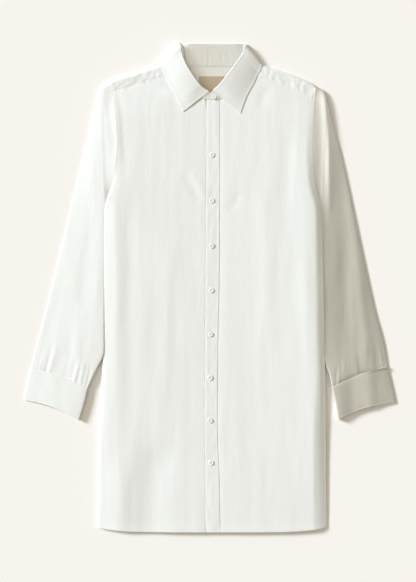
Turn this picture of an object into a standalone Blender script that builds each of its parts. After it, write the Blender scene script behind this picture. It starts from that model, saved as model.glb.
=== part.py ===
"""Shirt dress laid flat, face up: pointed collar, buttoned front, long sleeves with cuffs.

+X is the wearer's left, +Y runs to the collar and +Z is up from the surface it lies on.
Sizes and tables are in millimetres, and wall() turns them into metres.
"""
from collections import namedtuple
from math import cos, exp, pi, radians, sin

import bmesh
import bpy
from mathutils import Vector

for old in list(bpy.data.objects):
    bpy.data.objects.remove(old, do_unlink=True)

# ---------------------------------------------------------------- driving dimensions
MM = 0.001
CLOTH = 1.2            # one layer of shirting
BAND = 1.6             # a folded band with its stiffening: collar, cuffs, button band
GAP = 0.3              # between pieces that are sewn or lie on each other
SET_IN_GAP = 1.2       # between a sleeve and the armhole or side seam beside it
UNDERARM_GAP = 2.0     # added to it at the turn of the underarm
UNDERARM_Y = 168.0
UNDERARM_REACH = 28.0

YOKE_SEAM_Y = 300.0    # back seam between yoke and back panel
SHOULDER_FOLD = 3.0    # radius of the yoke's fold over the shoulder
SHOULDER_RISE = 70.0   # the front climbs from the shoulder fold to its full height over this
HEM_DROP = 8.9         # the hem hangs lower in the middle than at the side seams
HEM_REACH = 90.0       # length above the hem over which that drop fades out

PLACKET_LIFT = 0.4     # the button band stands this much proud of the front it is sewn to
UNDERLAP_DIP = 1.9     # the left front passes this much lower under the button band
UNDERLAP_RAMP = 11.0   # width over which the left front climbs back up beside the band

BUTTON_RADIUS = 5.0
BUTTON_THICKNESS = 2.2
FIRST_BUTTON_Y = 259.0
FIRST_BUTTON_STEP = 89.1
BUTTON_STEP_SHRINK = 1.13
BUTTON_COUNT = 8
STAND_BUTTON_RADIUS = 4.5
STAND_BUTTON_AT = (8.5, 371.5)
STAND_BUTTON_LIFT = 1.4   # it rides on the tab of the stand, which climbs towards the roll

LABEL_SIZE = (49.0, 31.0)
LABEL_CENTRE = (3.5, 397.5)
LABEL_THICKNESS = 1.0

# Sections across the body: the side seam or armhole on each side, the height of the front's
# edge there, the height of its middle, and the width of the slope up from each side.
Section = namedtuple("Section", "y side_r side_l edge_r edge_l loft slope_r slope_l")
SECTIONS = [
    Section(-468, -220.0, 228.0, 2.8, 2.8, 10.5, 45, 24),
    Section(-400, -218.3, 227.5, 2.8, 2.8, 12.0, 45, 24),
    Section(-290, -215.3, 226.6, 2.8, 2.8, 13.5, 44, 24),
    Section(-170, -211.0, 225.0, 2.8, 2.8, 14.0, 42, 23),
    Section(-50, -209.5, 222.2, 2.8, 2.8, 14.0, 42, 24),
    Section(70, -208.8, 219.5, 2.8, 2.8, 14.0, 40, 26),
    Section(150, -208.2, 217.0, 2.8, 2.8, 14.0, 36, 28),
    Section(170, -203.5, 212.5, 2.8, 2.8, 14.0, 30, 26),
    Section(180, -197.5, 208.5, 3.5, 3.0, 14.0, 24, 22),
    Section(200, -190.0, 204.5, 5.8, 5.0, 13.8, 20, 18),
    Section(230, -184.5, 201.3, 7.5, 7.0, 13.5, 18, 16),
    Section(270, -181.8, 200.2, 7.6, 7.0, 13.0, 18, 16),
    Section(310, -182.5, 201.0, 7.6, 7.0, 12.5, 20, 18),
    Section(350, -186.0, 203.5, 7.5, 7.0, 12.0, 24, 20),
    Section(374, -188.5, 205.5, 7.0, 6.6, 12.0, 28, 24),
    Section(385, -189.5, 206.3, 6.6, 6.2, 12.0, 30, 26),
    Section(405, -191.0, 207.0, 6.0, 6.0, 12.0, 30, 30),
]

# The largest soft troughs of the front: two ends, the width at each and the depth at each.
Trough = namedtuple("Trough", "x0 y0 width0 depth0 x1 y1 width1 depth1")
TROUGHS = [
    Trough(-100, -300, 22, 0.4, -118, -470, 34, 2.6),
    Trough(-38, 230, 14, 1.2, -20, 160, 8, 0.4),
    Trough(48, 200, 14, 1.0, 34, 145, 8, 0.3),
]

# The shoulder line: where the yoke folds over from back to front.
Shoulder = namedtuple("Shoulder", "x y")
SHOULDERS = [
    Shoulder(-191, 405), Shoulder(-155, 417), Shoulder(-117, 429), Shoulder(-90, 437),
    Shoulder(-60, 437), Shoulder(68, 437), Shoulder(98, 436.5), Shoulder(118, 430),
    Shoulder(157, 418), Shoulder(195, 402), Shoulder(207, 394),
]

# The button band's two edges.
Placket = namedtuple("Placket", "y left right")
PLACKET = [
    Placket(-468, -9.3, 20.0), Placket(-345, -10.0, 17.5), Placket(-300, -11.0, 15.3),
    Placket(-120, -10.8, 15.6), Placket(0, -9.5, 18.2), Placket(171, -8.5, 19.0),
    Placket(366, -7.0, 19.0),
]

# The neckline seam and the roll line of the collar, from the centre front to the shoulder.
# rise is how far the roll line stands up from the front's surface there.
Neck = namedtuple("Neck", "neck_x neck_y roll_x roll_y rise")
NECK_RIGHT = [
    Neck(-8, 367, -2, 382, 2.5), Neck(-45, 385, -19.5, 397, 7), Neck(-68, 402, -39, 424, 11.5),
    Neck(-84, 416, -48.5, 442, 11),
]
NECK_LEFT = [
    Neck(20, 367, 7, 384, 3.5), Neck(50, 384, 20.5, 399, 7), Neck(76, 401, 40, 423, 11.5),
    Neck(94, 413, 59.5, 450, 10),
]
BACK_NECK_Y = 434.3    # neckline seam across the back
BACK_ROLL_Y = 475.3    # top of the stand across the back

# Armhole stations, counted down from the shoulder tip, shared by body and sleeve.
ARMHOLE_Y = [385, 350, 310, 270, 230, 200, 180, 170]
BODY_Y = [-468, -440, -400, -350, -290, -230, -170, -110, -50, 10, 70, 120, 150]
BODY_Y += ARMHOLE_Y[:0:-1]


# ---------------------------------------------------------------- small helpers
def ease(t):
    """Quarter sine, from 0 at t = 0 to 1 at t = 1 and beyond."""
    return sin(0.5 * pi * min(max(t, 0.0), 1.0))


def mix(a, b, t):
    return a + (b - a) * t


def lookup(rows, key, value):
    """A row's values between the two table rows that stand either side of value."""
    keys = [getattr(row, key) for row in rows]
    value = min(max(value, keys[0]), keys[-1])
    index = max(i for i, k in enumerate(keys[:-1]) if k <= value)
    t = (value - keys[index]) / (keys[index + 1] - keys[index])
    pairs = zip(rows[index], rows[index + 1])
    return type(rows[0])(*(mix(a, b, t) for a, b in pairs))


def cloth_material(name, colour, roughness):
    material = bpy.data.materials.new(name)
    material.use_nodes = True
    shader = material.node_tree.nodes["Principled BSDF"]
    shader.inputs["Base Color"].default_value = (*colour, 1.0)
    shader.inputs["Roughness"].default_value = roughness
    shader.inputs["Metallic"].default_value = 0.0
    return material


def add_object(name, mesh, material):
    piece = bpy.data.objects.new(name, mesh)
    mesh.materials.append(material)
    bpy.context.scene.collection.objects.link(piece)
    return piece


def wall(name, outer, inner, material, around=False):
    """A closed wall between two grids of points, an outer and an inner skin.

    A grid is rows of points. None leaves a hole in it. With around=True each row is a ring.
    """
    bm = bmesh.new()
    skins = []
    for grid in (outer, inner):
        skins.append([[p and bm.verts.new(Vector(p) * MM) for p in row] for row in grid])
    out, ins = skins
    columns = len(out[0])
    edges = {}
    for i in range(len(out) - 1):
        for j in range(columns if around else columns - 1):
            k = (j + 1) % columns
            cell = [(i, j), (i, k), (i + 1, k), (i + 1, j)]
            if any(out[r][c] is None for r, c in cell):
                continue
            bm.faces.new([out[r][c] for r, c in cell])
            bm.faces.new([ins[r][c] for r, c in reversed(cell)])
            for a, b in zip(cell, cell[1:] + cell[:1]):
                edges[(a, b)] = True
    for a, b in edges:
        if (b, a) not in edges:
            bm.faces.new([out[b[0]][b[1]], out[a[0]][a[1]], ins[a[0]][a[1]], ins[b[0]][b[1]]])
    loose = [v for v in bm.verts if not v.link_faces]
    bmesh.ops.delete(bm, geom=loose, context="VERTS")
    bmesh.ops.triangulate(
        bm, faces=bm.faces[:], quad_method="SHORT_EDGE", ngon_method="BEAUTY")
    if bm.calc_volume(signed=True) < 0.0:
        bmesh.ops.reverse_faces(bm, faces=bm.faces[:])
    mesh = bpy.data.meshes.new(name)
    bm.to_mesh(mesh)
    bm.free()
    mesh.shade_smooth()
    mesh.set_sharp_from_angle(angle=radians(40))
    return add_object(name, mesh, material)


def lowered(grid, depth):
    """The same grid, moved straight down, for a panel's inner skin."""
    return [[p and (p[0], p[1], p[2] - depth) for p in row] for row in grid]


# ---------------------------------------------------------------- materials
SHIRTING = cloth_material("shirting", (0.83, 0.85, 0.80), 0.85)
LABEL_TAPE = cloth_material("label_tape", (0.45, 0.35, 0.21), 0.8)
SHIRT_BUTTON = cloth_material("shirt_button", (0.86, 0.86, 0.83), 0.25)


# ---------------------------------------------------------------- the front's surface
def hem_y(x, y):
    """A station near the hem, dropped by the curve of the hem line."""
    near = max(0.0, 1.0 - (y - SECTIONS[0].y) / HEM_REACH)
    half = 0.5 * (SECTIONS[0].side_l - SECTIONS[0].side_r)
    across = (x - SECTIONS[0].side_r - half) / half
    return y - HEM_DROP * near ** 2 * (1.0 - abs(across) ** 5)


def front_height(x, y):
    """Height of the front's upper skin above the surface that the dress lies on."""
    s = lookup(SECTIONS, "y", y)
    height = s.loft
    height -= (s.loft - s.edge_r) * (1.0 - ease((x - s.side_r) / s.slope_r))
    height -= (s.loft - s.edge_l) * (1.0 - ease((s.side_l - x) / s.slope_l))
    below_fold = lookup(SHOULDERS, "x", x).y - SHOULDER_FOLD - y
    fold_top = 2.0 * SHOULDER_FOLD
    height = mix(fold_top, height, ease(below_fold / SHOULDER_RISE))
    return height - trough_depth(x, y)


def trough_depth(x, y):
    """How far the soft troughs lower the front at a point."""
    depth = 0.0
    for t in TROUGHS:
        axis = Vector((t.x1 - t.x0, t.y1 - t.y0))
        share = min(max(Vector((x - t.x0, y - t.y0)).dot(axis) / axis.length_squared, 0.0), 1.0)
        foot = Vector((t.x0, t.y0)) + axis * share
        off = (Vector((x, y)) - foot).length / mix(t.width0, t.width1, share)
        depth += mix(t.depth0, t.depth1, share) * exp(-off * off)
    return depth


def left_front_height(x, y):
    """The left front, lower where it passes under the button band."""
    past_band = (x - lookup(PLACKET, "y", y).right - 1.0) / UNDERLAP_RAMP
    return front_height(x, y) - UNDERLAP_DIP * (1.0 - ease(past_band))


def front_rows(side, edge_x, neck, columns, height):
    """Rows of a front panel, from the hem to the seam that joins it to the yoke.

    side picks the Section column of its outer edge, edge_x gives its inner edge, and neck is
    its part of the neckline, which takes over as the inner edge above the top of the band.
    """
    ends = []
    for y in BODY_Y:
        ends.append((getattr(lookup(SECTIONS, "y", y), side), y, edge_x(y), y))
    top_y = seam_end(side)
    for k, row in enumerate(neck):
        outer_y = mix(BODY_Y[-1], top_y, (k + 1) / len(neck))
        outer_x = getattr(lookup(SECTIONS, "y", outer_y), side)
        ends.append((outer_x, outer_y, row.neck_x, row.neck_y - GAP))
    rows = []
    for x0, y0, x1, y1 in ends:
        row = []
        for f in columns:
            x = mix(x0, x1, f)
            y = hem_y(x, mix(y0, y1, f))
            row.append((x, y, height(x, y)))
        rows.append(row)
    return rows


def seam_end(side):
    """Where the forward shoulder seam meets the armhole."""
    return 385.0 if side == "side_r" else 374.0


def seam_y(x):
    """The forward shoulder seam, straight from each armhole to the neckline."""
    side, neck = ("side_r", NECK_RIGHT[-1]) if x < 0 else ("side_l", NECK_LEFT[-1])
    y0 = seam_end(side)
    x0 = getattr(lookup(SECTIONS, "y", y0), side)
    return mix(y0, neck.neck_y, (x - x0) / (neck.neck_x - x0))


# ---------------------------------------------------------------- fronts
slope_columns = [0.0, 0.03, 0.07, 0.12, 0.18, 0.25, 0.35, 0.5, 0.62, 0.75, 0.87, 0.95, 1.0]
right_grid = front_rows(
    "side_r", lambda y: lookup(PLACKET, "y", y).left, NECK_RIGHT, slope_columns, front_height)
wall("front_right", right_grid, lowered(right_grid, CLOTH), SHIRTING)

underlap_columns = [0.0, 0.03, 0.06, 0.1, 0.15, 0.3, 0.5, 0.7, 0.78, 0.84, 0.87, 0.89, 0.91, 1.0]
left_grid = front_rows(
    "side_l", lambda y: lookup(PLACKET, "y", y).left + 3.0, NECK_LEFT, underlap_columns,
    left_front_height)
wall("front_left", left_grid, lowered(left_grid, CLOTH), SHIRTING)


# ---------------------------------------------------------------- button band
def band_height(x, y):
    return front_height(x, y) + PLACKET_LIFT


band_grid = []
for y in BODY_Y + [365]:
    edges = lookup(PLACKET, "y", y)
    row = []
    for f in (0.0, 0.5, 1.0):
        x = mix(edges.left + GAP, edges.right, f)
        dropped = hem_y(x, y)
        row.append((x, dropped, band_height(x, dropped)))
    band_grid.append(row)
wall("placket", band_grid, lowered(band_grid, BAND), SHIRTING)


# ---------------------------------------------------------------- back panel
back_grid = []
for y in BODY_Y:
    if y >= YOKE_SEAM_Y:
        break
    s = lookup(SECTIONS, "y", y)
    xs = [mix(s.side_r, s.side_l, f) for f in (0.0, 0.08, 0.3, 0.5, 0.7, 0.92, 1.0)]
    back_grid.append([(x, hem_y(x, y), CLOTH) for x in xs])
s = lookup(SECTIONS, "y", YOKE_SEAM_Y)
back_grid.append([(mix(s.side_r, s.side_l, f), YOKE_SEAM_Y - GAP, CLOTH)
                  for f in (0.0, 0.08, 0.3, 0.5, 0.7, 0.92, 1.0)])
wall("back_panel", back_grid, lowered(back_grid, CLOTH), SHIRTING)


# ---------------------------------------------------------------- back yoke
# Columns run from the back seam up to the shoulder line. Those outside the neck go on over
# the fold and down the front to the forward seam; those inside it end at the back neckline.
Column = namedtuple("Column", "x folds")
YOKE_COLUMNS = [
    Column(-191, True), Column(-166, True), Column(-141, True), Column(-115, True),
    Column(-90, True), Column(-60, False), Column(0, False), Column(68, False),
    Column(98, True), Column(124, True), Column(150, True), Column(178, True),
    Column(207, True),
]
FOLD_ANGLES = [-45, 0, 45, 90]
STRIP_STEPS = [0.5, 1.0]
BACK_STEPS = [0.0, 0.1, 0.45, 0.8, 1.0]


def yoke_x(across, y):
    """A point of the yoke, at its share of the way from the right armhole to the left."""
    s = lookup(SECTIONS, "y", y)
    return mix(s.side_r, s.side_l, across)


def yoke_column(column):
    """Outer and inner skin of one strip of the yoke, from the back seam to the front seam."""
    span = YOKE_COLUMNS[-1].x - YOKE_COLUMNS[0].x
    across = (column.x - YOKE_COLUMNS[0].x) / span
    line_y = lookup(SHOULDERS, "x", column.x).y
    axis_y = line_y - SHOULDER_FOLD
    top_y = axis_y if column.folds else BACK_NECK_Y - GAP
    outer, inner = [], []
    for f in BACK_STEPS:
        y = mix(YOKE_SEAM_Y, top_y, f)
        x = yoke_x(across, y)
        outer.append((x, y, 0.0))
        inner.append((x, y, CLOTH))
    if not column.folds:
        empty = [None] * (len(FOLD_ANGLES) + len(STRIP_STEPS))
        return outer + empty, inner + empty
    for angle in FOLD_ANGLES:
        for skin, radius in ((outer, SHOULDER_FOLD), (inner, SHOULDER_FOLD - CLOTH)):
            a = radians(angle)
            y = axis_y + radius * cos(a)
            skin.append((yoke_x(across, y), y, SHOULDER_FOLD + radius * sin(a)))
    neck_shift = 5.5 if column.x < 0 else -4.0
    inset = abs(column.x - YOKE_COLUMNS[0 if column.x < 0 else -1].x) / 101.0
    seam_x = yoke_x(across, seam_y(column.x)) + neck_shift * inset
    for f in STRIP_STEPS:
        x = mix(yoke_x(across, axis_y), seam_x, f)
        y = mix(axis_y, seam_y(seam_x) + GAP, f)
        z = front_height(x, y)
        outer.append((x, y, z))
        inner.append((x, y, z - CLOTH))
    return outer, inner


yoke_skins = [yoke_column(column) for column in YOKE_COLUMNS]
wall("back_yoke", [skin[0] for skin in yoke_skins], [skin[1] for skin in yoke_skins], SHIRTING)


# ---------------------------------------------------------------- neck label
half_w, half_h = 0.5 * LABEL_SIZE[0], 0.5 * LABEL_SIZE[1]
label_top = CLOTH + GAP + LABEL_THICKNESS
label_grid = [[(LABEL_CENTRE[0] + sx * half_w, LABEL_CENTRE[1] + sy * half_h, label_top)
               for sx in (-1, 1)] for sy in (-1, 1)]
wall("neck_label", label_grid, lowered(label_grid, LABEL_THICKNESS), LABEL_TAPE)


# ---------------------------------------------------------------- collar stand and collar
# Both go round the neck as a flattened ring: a front stretch on each side lies on the front's
# surface, a back stretch lies near the floor, and a round turn at each shoulder joins them.
Turn = namedtuple("Turn", "near_x near_y far_x far_y")      # axis of a turn, roll to edge
TURN_ANGLES = [90, 45, 0, -45, -90]
STAND_TURNS = {"right": Turn(-53.2, 469.8, -83.5, 433.5), "left": Turn(64.3, 468.6, 91.5, 432.5)}
COLLAR_TURNS = {"right": Turn(-54.7, 471.2, -89.5, 438.5), "left": Turn(65.8, 469.1, 98.0, 438.2)}
COLLAR_RADII = (7.6, 4.4)      # of the turn, at the roll and at the outer edge
STAND_RADII = (5.25, 2.05)
STAND_CLEARANCE = 1.9          # the stand's turn stands this high above the floor
LEAF_LIFT = 2.0 * (COLLAR_RADII[1] - SHOULDER_FOLD)   # a leaf's upper skin at its outer edge


def turn_sections(turn, side, radii, floor_z, thickness, shares):
    """Outer and inner rows of the turn at a shoulder, from the front round to the back.

    radii are the turn's radius at the roll and at the far edge, and floor_z its lowest level.
    """
    near, far = Vector((turn.near_x, turn.near_y)), Vector((turn.far_x, turn.far_y))
    along = (far - near).normalized()
    outward = Vector((-along.y, along.x)) * (1 if side == "left" else -1)
    rows = []
    for angle in TURN_ANGLES:
        a = radians(angle)
        pair = []
        for inset in (0.0, thickness):
            points = []
            for f in shares:
                radius = mix(radii[0], radii[1], f)
                r = radius - inset
                p = near.lerp(far, f) + outward * (r * cos(a))
                points.append((p.x, p.y, floor_z + radius + r * sin(a)))
            pair.append(points)
        rows.append(pair)
    return rows


def lying_section(start, end, bow, rise, shares, upper, thickness):
    """Outer and inner rows of a stretch that lies on the front, upper giving its height.

    rise lifts its start, at the roll line, above that height.
    """
    start, end = Vector(start), Vector(end)
    across = end - start
    side = Vector((across.y, -across.x)).normalized()
    points = []
    for f in shares:
        p = start + across * f + side * (bow * sin(pi * f))
        points.append((p.x, p.y, upper(p.x, p.y) + rise * (1.0 - f)))
    return [points, [(x, y, z - thickness) for x, y, z in points]]


def back_section(x_near, y_near, x_far, y_far, shares, z_outer, z_inner):
    """Outer and inner rows of a stretch across the back, the outer skin facing the floor."""
    points = [(mix(x_near, x_far, f), mix(y_near, y_far, f)) for f in shares]
    return [[(x, y, z_outer) for x, y in points], [(x, y, z_inner) for x, y in points]]


def build_ring(name, sections):
    wall(name, [s[0] for s in sections], [s[1] for s in sections], SHIRTING)


STAND_SHARES = [0.0, 0.5, 1.0]
SEAM_INSET = 0.5       # the stand starts this far inside the neckline seam
TAB_END_X = 15.0       # the right end of the stand buttons over the left one up to here
TAB_RISE = 1.0


def stand_points(row):
    """Roll point and neckline point of the stand, clear of the panel at the seam."""
    roll, neck = Vector((row.roll_x, row.roll_y)), Vector((row.neck_x, row.neck_y))
    return roll, neck + (roll - neck).normalized() * SEAM_INSET


def stand_over(x, y):
    return front_height(x, y) + (PLACKET_LIFT if x > NECK_RIGHT[0].neck_x - 1.0 else 0.0)


def stand_under(x, y):
    ramp = (x - NECK_LEFT[0].neck_x + 1.0) / UNDERLAP_RAMP
    return front_height(x, y) - UNDERLAP_DIP * (1.0 - ease(ramp))


def stand_turn(side):
    return turn_sections(
        STAND_TURNS[side], side, STAND_RADII, STAND_CLEARANCE, CLOTH, STAND_SHARES)


stand = [lying_section(
    (TAB_END_X, 381.5), (TAB_END_X, 367.6), 0, TAB_RISE, STAND_SHARES, stand_over, CLOTH)]
for row in NECK_RIGHT:
    roll, neck = stand_points(row)
    stand.append(lying_section(roll, neck, 0, row.rise, STAND_SHARES, stand_over, CLOTH))
stand += stand_turn("right")
for x in (-40, 0, 50):
    stand.append(back_section(
        x, BACK_ROLL_Y, x * 1.25, BACK_NECK_Y, STAND_SHARES, STAND_CLEARANCE,
        STAND_CLEARANCE + CLOTH))
stand += stand_turn("left")[::-1]
for row in reversed(NECK_LEFT):
    roll, neck = stand_points(row)
    stand.append(lying_section(roll, neck, 0, row.rise, STAND_SHARES, stand_under, CLOTH))
stand.append(lying_section((-5, 380.0), (-5, 367.6), 0, TAB_RISE, STAND_SHARES, stand_under, CLOTH))
build_ring("collar_stand", stand)

# Leaf sections from the front edge to the shoulder: roll line, outer edge, bow of the edge,
# and how far the roll stands up from the front's surface.
Leaf = namedtuple("Leaf", "roll_x roll_y edge_x edge_y bow rise")
LEAF_RIGHT = [
    Leaf(-0.5, 383, -52, 343, -5, 3), Leaf(-11, 389, -57, 354, -2, 5.5),
    Leaf(-20, 397, -66, 372, 0, 7.5), Leaf(-39, 424, -81, 401, 0, 12),
    Leaf(-49, 443, -87, 412, 0, 11.5), Leaf(-55, 462, -92, 427, 0, 8),
]
LEAF_LEFT = [
    Leaf(6, 385, 60, 340, 5, 4), Leaf(13, 391, 64, 352, 2, 6), Leaf(21, 399, 71, 370, 0, 7.5),
    Leaf(40, 423, 86, 399, 0, 12), Leaf(59, 450, 95, 418, 0, 10.5), Leaf(65, 460, 101, 427, 0, 8),
]
LEAF_SHARES = [0.0, 0.2, 0.5, 0.8, 1.0]


def leaf_height(x, y):
    return front_height(x, y) + LEAF_LIFT


def collar_turn(side):
    return turn_sections(COLLAR_TURNS[side], side, COLLAR_RADII, 0.0, BAND, LEAF_SHARES)


collar = []
for leaf in LEAF_RIGHT:
    start, end = (leaf.roll_x, leaf.roll_y), (leaf.edge_x, leaf.edge_y)
    collar.append(lying_section(start, end, leaf.bow, leaf.rise, LEAF_SHARES, leaf_height, BAND))
collar += collar_turn("right")
for x in (-40, 0, 50):
    collar.append(back_section(x, BACK_ROLL_Y + 1.6, x * 1.2, 437.0, LEAF_SHARES, 0.0, BAND))
collar += collar_turn("left")[::-1]
for leaf in reversed(LEAF_LEFT):
    start, end = (leaf.roll_x, leaf.roll_y), (leaf.edge_x, leaf.edge_y)
    collar.append(lying_section(start, end, leaf.bow, leaf.rise, LEAF_SHARES, leaf_height, BAND))
build_ring("collar", collar)


# ---------------------------------------------------------------- sleeves and cuffs
# Rings of a flattened tube, from the armhole to the cuff: the outer crease, the inner crease,
# how much of the armhole's curve is left, a bow towards the cuff, the thickness at the
# creases, and the height of the upper layer near the outer and the inner crease.
Ring = namedtuple("Ring", "out_x out_y in_x in_y curve bow edge rise_out rise_in")
SLEEVE_RIGHT = [
    Ring(-208, 394, -208, 154, 0.35, 0, 5.4, 8.0, 6.5), Ring(-222, 352, -209, 122, 0.1, 0, 5, 9, 9),
    Ring(-237, 294, -209, 75, 0, 0, 4.6, 8.5, 11.5), Ring(-254, 225, -210, 20, 0, 0, 4.4, 8, 13),
    Ring(-277, 130, -210, -40, 0, 0, 4.2, 8, 13), Ring(-300, 35, -210, -90, 0, 0, 4.2, 8, 14),
    Ring(-319, -42, -212, -141, 0, 1, 4.2, 8, 14), Ring(-337, -112, -224, -170, 0, 3, 4.2, 8, 12),
    Ring(-348.5, -157, -236.8, -192, 0, 4, 4.2, 8.6, 8.6),
]
SLEEVE_LEFT = [
    Ring(223, 384, 218, 154, 0.35, 0, 5.4, 9, 7), Ring(233, 352, 220, 122, 0.1, 0, 5, 9, 10),
    Ring(244, 306, 221, 75, 0, 0, 4.6, 8.5, 12), Ring(261, 240, 222, 20, 0, 0, 4.4, 8, 13),
    Ring(285, 130, 223, -40, 0, 0, 4.2, 8, 13), Ring(305, 36, 224, -90, 0, 0, 4.2, 8, 13),
    Ring(323, -45, 226, -145, 0, 1, 4.2, 8, 12), Ring(340, -108, 236, -172, 0, 3, 4.2, 8, 10),
    Ring(347, -153.5, 240.5, -190.5, 0, 4, 4.2, 8.6, 8.6),
]
CUFF_RIGHT = [
    Ring(-348.6, -157.6, -237, -192.6, 0, 4, 4.6, 8.8, 8.8),
    Ring(-357, -189, -245, -226, 0, 5, 4.6, 8.8, 8.8),
    Ring(-363.4, -219, -255, -258.5, 0, 6.5, 4.6, 8.8, 8.8),
]
CUFF_LEFT = [
    Ring(347.1, -154.1, 240.7, -191.1, 0, 4, 4.6, 8.8, 8.8),
    Ring(356, -190, 245, -225, 0, 5, 4.6, 8.8, 8.8),
    Ring(363.4, -224, 250.3, -256.5, 0, 6.5, 4.6, 8.8, 8.8),
]


def armhole_curve(side, tip_y):
    """Stations from the shoulder tip to the underarm: share of the way, curve inwards."""
    ys = [tip_y, tip_y - SHOULDER_FOLD] + [y for y in ARMHOLE_Y if y < tip_y - 15.0]
    xs = [getattr(lookup(SECTIONS, "y", y), side) for y in ys]
    stations = []
    for x, y in zip(xs, ys):
        share = (tip_y - y) / (tip_y - ys[-1])
        stations.append((share, x - mix(xs[0], xs[-1], share)))
    return stations


def ring_points(ring, stations, side, thickness, armhole_share=0.0, armhole_heights=None):
    """Outer and inner loops of one ring: along the upper layer, then back underneath."""
    start, end = Vector((ring.out_x, ring.out_y)), Vector((ring.in_x, ring.in_y))
    chord = end - start
    inward = -1.0 if side == "side_r" else 1.0
    bow_way = Vector((chord.y, -chord.x)).normalized() * -inward
    outline = []
    for k, (share, curve) in enumerate(stations):
        p = start + chord * share + bow_way * (ring.bow * sin(pi * share))
        p.x += curve * ring.curve
        if p.y > -150.0:
            near = max(0.0, 1.0 - abs(p.y - UNDERARM_Y) / UNDERARM_REACH)
            gap = SET_IN_GAP + UNDERARM_GAP * near
            limit = getattr(lookup(SECTIONS, "y", p.y), side) + inward * gap
            p.x = min(p.x, limit) if side == "side_r" else max(p.x, limit)
        swell = (4.0 * share * (1.0 - share)) ** 0.35
        top = ring.edge + (mix(ring.rise_out, ring.rise_in, share) - ring.edge) * swell
        if armhole_heights:
            top = mix(top, armhole_heights[k], armhole_share)
        outline.append((p, top))
    step = chord.normalized() * thickness
    outer = [(p.x, p.y, top) for p, top in outline[1:-1]]
    inner = [(p.x, p.y, top - thickness) for p, top in outline[1:-1]]
    outer_low = [(p.x, p.y, 0.0) for p, top in reversed(outline[1:-1])]
    inner_low = [(p.x, p.y, thickness) for p, top in reversed(outline[1:-1])]
    (first, first_top), (last, last_top) = outline[0], outline[-1]
    outer = [(first.x, first.y, 0.5 * first_top)] + outer + [(last.x, last.y, 0.5 * last_top)]
    first, last = first + step, last - step
    inner = [(first.x, first.y, 0.5 * first_top)] + inner + [(last.x, last.y, 0.5 * last_top)]
    return outer + outer_low, inner + inner_low


def build_tube(name, loops):
    wall(name, [loop[0] for loop in loops], [loop[1] for loop in loops], SHIRTING, around=True)


def build_sleeve(name, side, tip, rings, cuff_name, cuff_rings):
    underarm_y = ARMHOLE_Y[-1]
    stations = armhole_curve(side, tip.y)
    underarm_x = getattr(lookup(SECTIONS, "y", underarm_y), side)
    outward = -SET_IN_GAP if side == "side_r" else SET_IN_GAP
    heights = []
    for share, curve in stations:
        y = mix(tip.y, underarm_y, share)
        row = lookup(SECTIONS, "y", y)
        heights.append(row.edge_r if side == "side_r" else row.edge_l)
    armhole = Ring(tip.x + outward, tip.y, underarm_x + outward, underarm_y, 1, 0, 6, 6, 6)
    loops = [ring_points(armhole, stations, side, CLOTH, 1.0, heights)]
    for ring in rings:
        loops.append(ring_points(ring, stations, side, CLOTH, 0.5 * ring.curve, heights))
    build_tube(name, loops)
    build_tube(cuff_name, [ring_points(ring, stations, side, BAND) for ring in cuff_rings])


build_sleeve("sleeve_right", "side_r", SHOULDERS[0], SLEEVE_RIGHT, "cuff_right", CUFF_RIGHT)
build_sleeve("sleeve_left", "side_l", SHOULDERS[-1], SLEEVE_LEFT, "cuff_left", CUFF_LEFT)


# ---------------------------------------------------------------- buttons
def build_button(name, x, y, base_z, radius):
    """A round button with a raised rim, turned from its half profile."""
    profile = [(0.0, 0.0), (0.8, 0.0), (1.0, 0.35), (0.96, 0.85), (0.84, 1.0), (0.66, 0.85),
               (0.0, 0.75)]
    bm = bmesh.new()
    verts = [bm.verts.new((r * radius * MM, 0.0, h * BUTTON_THICKNESS * MM))
             for r, h in profile]
    edges = [bm.edges.new(pair) for pair in zip(verts, verts[1:])]
    bmesh.ops.spin(bm, geom=verts + edges, axis=(0, 0, 1), cent=(0, 0, 0), steps=20,
                   angle=2.0 * pi, use_merge=True)
    bmesh.ops.remove_doubles(bm, verts=bm.verts[:], dist=0.00001)
    bmesh.ops.recalc_face_normals(bm, faces=bm.faces[:])
    mesh = bpy.data.meshes.new(name)
    bm.to_mesh(mesh)
    bm.free()
    mesh.shade_smooth()
    mesh.set_sharp_from_angle(angle=radians(50))
    button = add_object(name, mesh, SHIRT_BUTTON)
    button.location = Vector((x, y, base_z)) * MM


stand_x, stand_y = STAND_BUTTON_AT
build_button("button_stand", stand_x, stand_y,
             stand_over(stand_x, stand_y) + STAND_BUTTON_LIFT, STAND_BUTTON_RADIUS)
button_y = FIRST_BUTTON_Y
button_step = FIRST_BUTTON_STEP
for number in range(1, BUTTON_COUNT + 1):
    edges = lookup(PLACKET, "y", button_y)
    button_x = 0.5 * (edges.left + edges.right) - 1.0
    build_button(f"button_{number}", button_x, button_y,
                 band_height(button_x, button_y) + GAP, BUTTON_RADIUS)
    button_y -= button_step
    button_step -= BUTTON_STEP_SHRINK
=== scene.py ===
from collections import namedtuple
from functools import lru_cache
from math import cos, exp, hypot, pi, radians, sin

import bmesh
import bpy
from mathutils import Matrix, Vector, noise


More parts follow.
